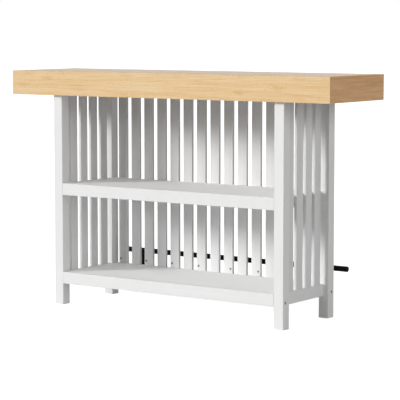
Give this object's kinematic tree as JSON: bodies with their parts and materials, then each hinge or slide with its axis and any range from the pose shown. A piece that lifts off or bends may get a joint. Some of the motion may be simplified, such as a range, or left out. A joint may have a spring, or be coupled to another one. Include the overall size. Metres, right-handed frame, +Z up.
{
  "type": "bar cabinet",
  "caption": "Freestanding bar cabinet with a thick boxed wood top, slatted white back and sides, open front, two shelves and a black foot rail on the guests' side.",
  "frame": {"origin": "on the floor at the centre of the bounding box, foot rail included", "axes": "+X along the length, to the right as seen from the open front; +Y towards the slatted back and the foot rail; +Z up"},
  "size_m": [1.7, 0.5708, 1.07],
  "materials": {
    "light_wood": "pale, fine-grained wood with a clear satin finish",
    "white_paint": "planed wood with satin white paint",
    "black_steel": "satin black powder coat",
    "black_plastic": "matt black moulded plug",
    "bright_steel": "zinc-plated screw"
  },
  "bodies": {
    "root": {"back_slat_01": "white_paint", "back_slat_02": "white_paint", "back_slat_03": "white_paint", "back_slat_04": "white_paint", "back_slat_05": "white_paint", "back_slat_06": "white_paint", "back_slat_07": "white_paint", "back_slat_08": "white_paint", "back_slat_09": "white_paint", "back_slat_10": "white_paint", "back_slat_11": "white_paint", "back_slat_12": "white_paint", "back_slat_13": "white_paint", "back_slat_14": "white_paint", "back_slat_15": "white_paint", "bottom_board": "white_paint", "bottom_rail_back": "white_paint", "bottom_rail_front": "white_paint", "bottom_rail_left": "white_paint", "bottom_rail_right": "white_paint", "foot_rail_bracket_left": "black_steel", "foot_rail_bracket_right": "black_steel", "foot_rail_cap_left": "black_plastic", "foot_rail_cap_right": "black_plastic", "foot_rail_tube": "black_steel", "left_slat_1": "white_paint", "left_slat_2": "white_paint", "left_slat_3": "white_paint", "left_slat_4": "white_paint", "leg_back_left": "white_paint", "leg_back_right": "white_paint", "leg_front_left": "white_paint", "leg_front_right": "white_paint", "leg_screw_back_left": "bright_steel", "leg_screw_back_right": "bright_steel", "leg_screw_front_left": "bright_steel", "leg_screw_front_right": "bright_steel", "middle_board": "white_paint", "middle_cleat_left": "white_paint", "middle_cleat_right": "white_paint", "middle_rail_back": "white_paint", "middle_rail_front": "white_paint", "right_slat_1": "white_paint", "right_slat_2": "white_paint", "right_slat_3": "white_paint", "right_slat_4": "white_paint", "top_board": "light_wood", "top_crossbar_left": "light_wood", "top_crossbar_right": "light_wood", "top_fascia_back": "light_wood", "top_fascia_front": "light_wood", "top_fascia_left": "light_wood", "top_fascia_right": "light_wood", "top_rail_back": "white_paint", "top_rail_front": "white_paint", "top_rail_left": "white_paint", "top_rail_right": "white_paint", "top_stringer_back": "light_wood", "top_stringer_front": "light_wood"}
  },
  "joints": []
}
